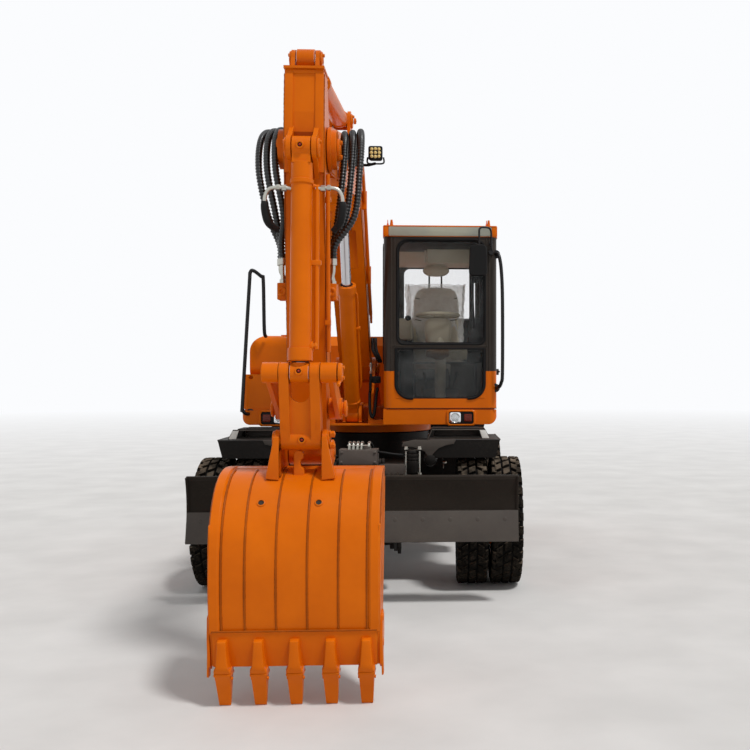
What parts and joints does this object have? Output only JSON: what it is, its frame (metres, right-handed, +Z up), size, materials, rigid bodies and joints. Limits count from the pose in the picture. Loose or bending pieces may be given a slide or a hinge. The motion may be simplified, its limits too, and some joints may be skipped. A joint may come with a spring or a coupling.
{
  "type": "wheeled excavator",
  "caption": "Wheeled excavator with a cranked boom, an arm and bucket on cylinders, a slewing upper structure with a cab, twin steered and driven wheels and a lifting dozer blade.",
  "frame": {"origin": "on the ground, in the middle of the machine's outline seen from above", "axes": "-Y is ahead, where the bucket is, +Z is up, and +X is the side with the cab"},
  "size_m": [2.417, 6.098, 3.4698],
  "materials": {
    "black_plastic": "matte",
    "bright_rod": "polished",
    "dark_paint": "satin",
    "glazing": "polished",
    "grey_paint": "satin",
    "orange_paint": "glossy",
    "seat_cloth": "matte",
    "steel": "rough",
    "tyre": "matte"
  },
  "bodies": {
    "chassis": {"chassis_frame": "dark_paint", "turntable": "dark_paint", "front_axle": "dark_paint", "rear_axle": "dark_paint", "driveline": "dark_paint", "mudguards": "dark_paint", "valve_box": "grey_paint"},
    "upper": {"upper_frame": "orange_paint", "counterweight": "orange_paint", "engine_hood": "orange_paint", "engine": "steel", "side_tank": "orange_paint", "cab_base": "orange_paint", "cab_frame": "dark_paint", "cab_roof": "orange_paint", "cab_glass": "glazing", "seat_base": "black_plastic", "seat": "seat_cloth", "controls": "black_plastic", "headlamps": "black_plastic", "rails": "black_plastic", "side_mirror": "black_plastic"},
    "door": {"door": "dark_paint", "door_glass": "glazing"},
    "boom": {"boom": "orange_paint", "work_lamp": "black_plastic"},
    "boom_barrel": {"boom_barrel": "orange_paint"},
    "boom_rod": {"boom_rod": "bright_rod"},
    "arm": {"arm": "orange_paint", "arm_pipes": "orange_paint"},
    "arm_barrel": {"arm_barrel": "orange_paint"},
    "arm_rod": {"arm_rod": "bright_rod"},
    "bucket": {"bucket": "orange_paint", "bucket_teeth": "orange_paint"},
    "bucket_barrel": {"bucket_barrel": "orange_paint"},
    "bucket_rod": {"bucket_rod": "bright_rod"},
    "rocker": {"rocker": "orange_paint"},
    "link": {"link": "orange_paint"},
    "knuckle_left": {"knuckle_left": "dark_paint"},
    "knuckle_right": {"knuckle_right": "dark_paint"},
    "tie_rod": {"tie_rod": "bright_rod"},
    "wheel_front_left": {"wheel_front_left": "orange_paint", "tyres_front_left": "tyre"},
    "wheel_front_right": {"wheel_front_right": "orange_paint", "tyres_front_right": "tyre"},
    "wheel_rear_left": {"wheel_rear_left": "orange_paint", "tyres_rear_left": "tyre"},
    "wheel_rear_right": {"wheel_rear_right": "orange_paint", "tyres_rear_right": "tyre"},
    "blade": {"blade": "dark_paint"},
    "blade_links_lower": {"blade_links_lower": "dark_paint"},
    "blade_links_upper": {"blade_links_upper": "dark_paint"},
    "blade_barrels": {"blade_barrels": "dark_paint"},
    "blade_rods": {"blade_rods": "bright_rod"}
  },
  "joints": [
    {"name": "slew", "type": "hinge", "parent": "chassis", "child": "upper", "pos_m": [0, 1.049, 1.13], "axis": [0, 0, 1], "continuous": true},
    {"name": "door", "type": "hinge", "parent": "upper", "child": "door", "pos_m": [1.063, 1.303, 1.9], "axis": [0, 0, 1], "range_deg": [0, 150]},
    {"name": "boom", "type": "hinge", "parent": "upper", "child": "boom", "pos_m": [-0.11, 0.729, 1.64], "axis": [-1, 0, 0], "range_deg": [-42, 36]},
    {"name": "arm", "type": "hinge", "parent": "boom", "child": "arm", "pos_m": [-0.11, -2.471, 2.8], "axis": [1, 0, 0], "range_deg": [-60, 38]},
    {"name": "bucket", "type": "hinge", "parent": "arm", "child": "bucket", "pos_m": [-0.11, -2.451, 1.19], "axis": [1, 0, 0], "range_deg": [0, 140]},
    {"name": "boom_barrel", "type": "hinge", "parent": "upper", "child": "boom_barrel", "pos_m": [-0.11, 0.329, 1.28], "axis": [-1, 0, 0], "range_deg": [-40.9, 35.08]},
    {"name": "boom_rod", "type": "slide", "parent": "boom_barrel", "child": "boom_rod", "axis": [0, -0.4842, 0.875], "range_m": [-0.3564, 0.3056]},
    {"name": "arm_barrel", "type": "hinge", "parent": "boom", "child": "arm_barrel", "pos_m": [-0.11, -0.701, 3.4], "axis": [-1, 0, 0], "range_deg": [-0.81, 0.59]},
    {"name": "arm_rod", "type": "slide", "parent": "arm_barrel", "child": "arm_rod", "axis": [0, -0.9966, -0.0826], "range_m": [-0.4241, 0.2689]},
    {"name": "bucket_barrel", "type": "hinge", "parent": "arm", "child": "bucket_barrel", "pos_m": [-0.11, -2.741, 2.75], "axis": [1, 0, 0], "range_deg": [0, 6.63]},
    {"name": "bucket_rod", "type": "slide", "parent": "bucket_barrel", "child": "bucket_rod", "axis": [0, -0.0701, -0.9975], "range_m": [0, 0.6427]},
    {"name": "rocker", "type": "hinge", "parent": "arm", "child": "rocker", "pos_m": [-0.11, -2.451, 1.42], "axis": [1, 0, 0], "range_deg": [0, 102.3]},
    {"name": "link", "type": "hinge", "parent": "bucket", "child": "link", "pos_m": [-0.11, -2.751, 1.272], "axis": [-1, 0, 0], "range_deg": [0, 86.59]},
    {"name": "steer_left", "type": "hinge", "parent": "chassis", "child": "knuckle_left", "pos_m": [0.6, -0.101, 0.485], "axis": [0, 0, 1], "range_deg": [-28, 28]},
    {"name": "steer_right", "type": "hinge", "parent": "chassis", "child": "knuckle_right", "pos_m": [-0.6, -0.101, 0.485], "axis": [0, 0, 1], "range_deg": [-29, 29]},
    {"name": "tie_rod", "type": "slide", "parent": "chassis", "child": "tie_rod", "axis": [1, 0, 0], "range_m": [-0.092, 0.092]},
    {"name": "spin_front_left", "type": "hinge", "parent": "knuckle_left", "child": "wheel_front_left", "pos_m": [0.965, -0.101, 0.485], "axis": [1, 0, 0], "continuous": true},
    {"name": "spin_front_right", "type": "hinge", "parent": "knuckle_right", "child": "wheel_front_right", "pos_m": [-0.965, -0.101, 0.485], "axis": [1, 0, 0], "continuous": true},
    {"name": "spin_rear_left", "type": "hinge", "parent": "chassis", "child": "wheel_rear_left", "pos_m": [0.965, 2.399, 0.485], "axis": [1, 0, 0], "continuous": true},
    {"name": "spin_rear_right", "type": "hinge", "parent": "chassis", "child": "wheel_rear_right", "pos_m": [-0.965, 2.399, 0.485], "axis": [1, 0, 0], "continuous": true},
    {"name": "blade_lift", "type": "hinge", "parent": "chassis", "child": "blade_links_lower", "pos_m": [0, -0.433, 0.34], "axis": [1, 0, 0], "range_deg": [0, 80]},
    {"name": "blade_upper_links", "type": "hinge", "parent": "chassis", "child": "blade_links_upper", "pos_m": [0, -0.433, 0.56], "axis": [1, 0, 0], "range_deg": [0, 81.8]},
    {"name": "blade_level", "type": "hinge", "parent": "blade_links_lower", "child": "blade", "pos_m": [0, -0.8007, 0.6485], "axis": [-1, 0, 0], "range_deg": [0, 81.8]},
    {"name": "blade_barrels", "type": "hinge", "parent": "chassis", "child": "blade_barrels", "pos_m": [0, -0.281, 0.93], "axis": [1, 0, 0], "range_deg": [0, 18.97]},
    {"name": "blade_rods", "type": "slide", "parent": "blade_barrels", "child": "blade_rods", "axis": [0, -0.731, -0.6824], "range_m": [0, 0.3677]}
  ],
  "couplings": [
    {"joint": "boom_barrel", "follows": "boom", "ratio": 0.95},
    {"joint": "boom_rod", "follows": "boom", "m_per_rad": 0.48},
    {"joint": "arm_barrel", "follows": "arm", "ratio": 0.01},
    {"joint": "arm_rod", "follows": "arm", "m_per_rad": 0.4},
    {"joint": "bucket_barrel", "follows": "bucket", "ratio": 0.045},
    {"joint": "bucket_rod", "follows": "bucket", "m_per_rad": 0.26},
    {"joint": "rocker", "follows": "bucket", "ratio": 0.715},
    {"joint": "link", "follows": "bucket", "ratio": 0.605},
    {"joint": "steer_right", "follows": "steer_left", "ratio": 1},
    {"joint": "tie_rod", "follows": "steer_left", "m_per_rad": -0.183},
    {"joint": "blade_upper_links", "follows": "blade_lift", "ratio": 1},
    {"joint": "blade_level", "follows": "blade_lift", "ratio": 1},
    {"joint": "blade_barrels", "follows": "blade_lift", "ratio": 0.23},
    {"joint": "blade_rods", "follows": "blade_lift", "m_per_rad": 0.26}
  ]
}
